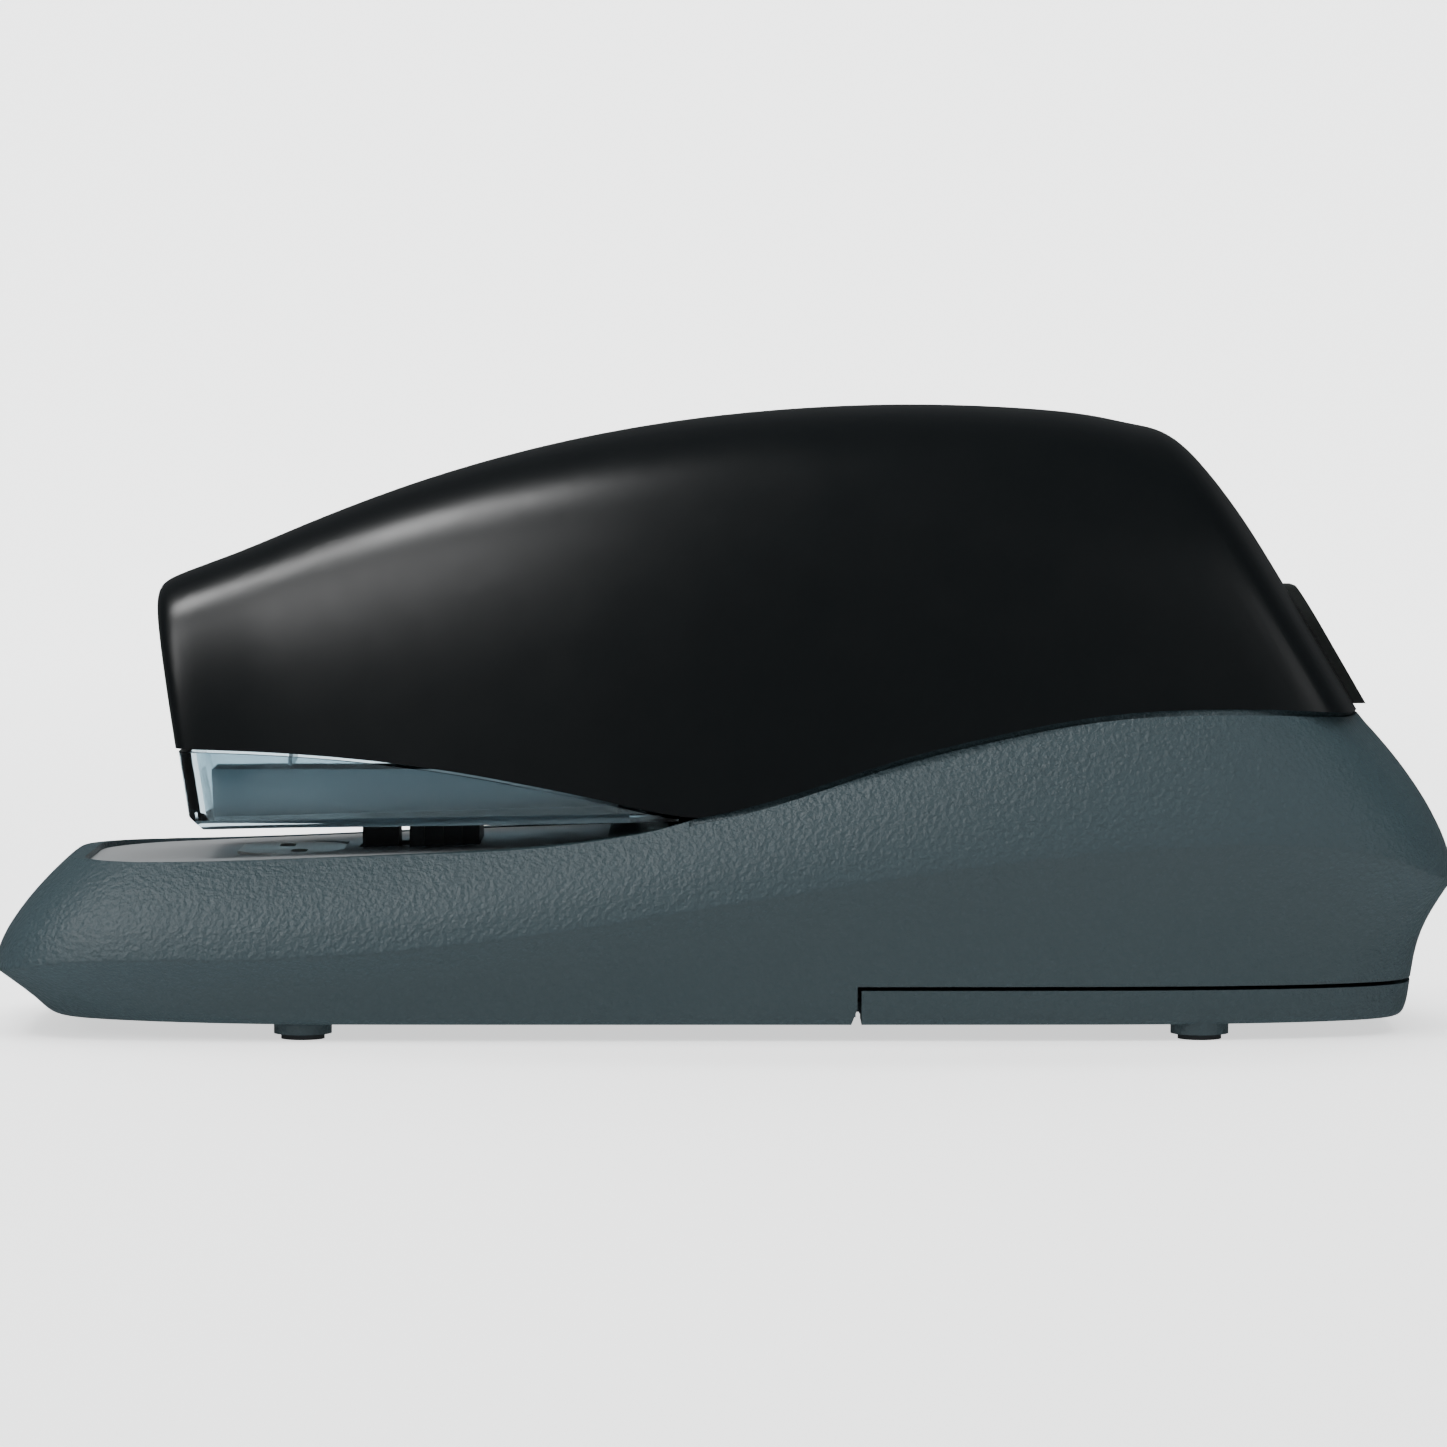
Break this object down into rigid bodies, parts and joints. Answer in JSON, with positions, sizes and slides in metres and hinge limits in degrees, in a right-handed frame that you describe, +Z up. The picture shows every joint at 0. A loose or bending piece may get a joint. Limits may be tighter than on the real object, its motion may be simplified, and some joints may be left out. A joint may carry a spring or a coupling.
{
  "type": "stapler",
  "caption": "Battery desktop stapler: slate base with metal deck and anvil, black cover with rear release button, clear staple drawer, geared cam drive and hinged battery door.",
  "frame": {"origin": "middle of the footprint, at the level of the table under the rubber feet", "axes": "+X along the body towards the rear, nose at -X; +Z up"},
  "size_m": [0.2162, 0.072, 0.0925],
  "materials": {
    "slate_abs": "moulded, fine stipple grain",
    "black_abs": "moulded, satin",
    "smoke_window": "clear smoked polycarbonate",
    "deck_metal": "satin anodised",
    "anvil_steel": "nickel plated",
    "dark_resin": "moulded",
    "button_resin": "moulded, fine matt",
    "foot_rubber": "matt",
    "zinc_steel": "zinc plated pressing",
    "spring_steel": "drawn wire",
    "gear_acetal": "natural acetal",
    "brass_gear": "machined",
    "motor_steel": "plated can",
    "cell_jacket": "printed sleeve, plain",
    "nickel_strip": "plated strip",
    "board_green": "lacquered laminate",
    "chip_black": "moulded",
    "staple_wire": "bright wire",
    "inner_resin": "moulded"
  },
  "bodies": {
    "base": {"base_housing": "slate_abs", "deck_plate": "deck_metal", "anvil_insert": "anvil_steel", "paper_stop": "dark_resin", "trigger_pin": "spring_steel", "micro_switch": "chip_black", "front_feet": "foot_rubber", "door_hinge_pins": "spring_steel", "battery_tray": "inner_resin", "battery_cells": "cell_jacket", "battery_springs": "nickel_strip", "contact_plates": "nickel_strip", "control_board": "board_green", "board_posts": "slate_abs", "board_parts": "chip_black", "base_screws": "zinc_steel", "top_cover": "black_abs", "chassis_left": "zinc_steel", "chassis_right": "zinc_steel", "chassis_spacers": "zinc_steel", "arm_pivot_pin": "spring_steel", "gear_pins": "spring_steel", "gearbox_plate": "inner_resin", "motor_can": "motor_steel", "magazine_guide": "inner_resin", "latch_pin": "spring_steel", "rod_guide": "inner_resin", "button_spring": "spring_steel", "arm_spring": "spring_steel"},
    "motor_rotor": {"motor_pinion": "brass_gear"},
    "gear_one": {"gear_1": "gear_acetal"},
    "gear_two": {"gear_2": "gear_acetal"},
    "cam": {"cam_gear": "gear_acetal", "cam_shaft": "spring_steel", "heart_cam": "gear_acetal"},
    "arm": {"drive_arm": "zinc_steel", "arm_pins": "spring_steel", "arm_roller": "gear_acetal"},
    "driver": {"driver_block": "dark_resin", "driver_blade": "spring_steel"},
    "drawer": {"guard_window": "smoke_window", "staple_channel": "zinc_steel", "nose_block": "inner_resin", "core_rail": "zinc_steel", "spring_rod": "spring_steel", "staple_strip": "staple_wire", "drawer_hook": "inner_resin", "pusher_spring": "spring_steel"},
    "pusher_body": {"pusher": "dark_resin"},
    "trigger": {"trigger_lever": "dark_resin"},
    "release": {"release_button": "button_resin", "release_rod": "dark_resin"},
    "latch": {"latch_lever": "zinc_steel", "latch_leaf": "spring_steel"},
    "door": {"battery_door": "slate_abs", "rear_feet": "foot_rubber"}
  },
  "joints": [
    {"name": "cam_turn", "type": "hinge", "parent": "base", "child": "cam", "pos_m": [0.024, 0, 0.0455], "axis": [0, 1, 0], "range_deg": [0, 180]},
    {"name": "gear_two_turn", "type": "hinge", "parent": "base", "child": "gear_two", "pos_m": [0.0446, 0.017, 0.04839], "axis": [0, 1, 0], "range_deg": [-600.01, 0]},
    {"name": "gear_one_turn", "type": "hinge", "parent": "base", "child": "gear_one", "pos_m": [0.05982, 0.02, 0.04285], "axis": [0, 1, 0], "range_deg": [0, 2100.01]},
    {"name": "motor_turn", "type": "hinge", "parent": "base", "child": "motor_rotor", "pos_m": [0.07298, 0.01, 0.03807], "axis": [0, 1, 0], "range_deg": [-7700.1, 0]},
    {"name": "arm_swing", "type": "hinge", "parent": "base", "child": "arm", "pos_m": [-0.018, 0, 0.055], "axis": [0, -1, 0], "range_deg": [0, 14.19], "deforming": ["arm_spring"]},
    {"name": "driver_slide", "type": "slide", "parent": "base", "child": "driver", "axis": [0, 0, -1], "range_m": [0, 0.0106]},
    {"name": "drawer_slide", "type": "slide", "parent": "base", "child": "drawer", "axis": [1, 0, 0], "range_m": [-0.055, 0]},
    {"name": "pusher_slide", "type": "slide", "parent": "drawer", "child": "pusher_body", "axis": [1, 0, 0], "range_m": [0, 0.0115], "deforming": ["pusher_spring"]},
    {"name": "trigger_swing", "type": "hinge", "parent": "base", "child": "trigger", "pos_m": [-0.0512, 0, 0.014], "axis": [0, 1, 0], "range_deg": [0, 5.5]},
    {"name": "release_press", "type": "slide", "parent": "base", "child": "release", "axis": [-1, 0, 0], "range_m": [0, 0.003], "deforming": ["button_spring"]},
    {"name": "latch_swing", "type": "hinge", "parent": "base", "child": "latch", "pos_m": [-0.002, -0.016, 0.072], "axis": [0, 1, 0], "range_deg": [0, 11.46], "deforming": ["latch_leaf"]},
    {"name": "door_swing", "type": "hinge", "parent": "base", "child": "door", "pos_m": [0.0216, 0, 0.00395], "axis": [0, 1, 0], "range_deg": [0, 80]}
  ],
  "couplings": [
    {"joint": "gear_two_turn", "follows": "cam_turn", "ratio": -3.3333},
    {"joint": "gear_one_turn", "follows": "cam_turn", "ratio": 11.667},
    {"joint": "motor_turn", "follows": "cam_turn", "ratio": -42.778},
    {"joint": "arm_swing", "follows": "cam_turn", "ratio": 0.078851},
    {"joint": "driver_slide", "follows": "cam_turn", "m_per_rad": 0.0033741},
    {"joint": "latch_swing", "follows": "release_press", "rad_per_m": 66.667}
  ]
}
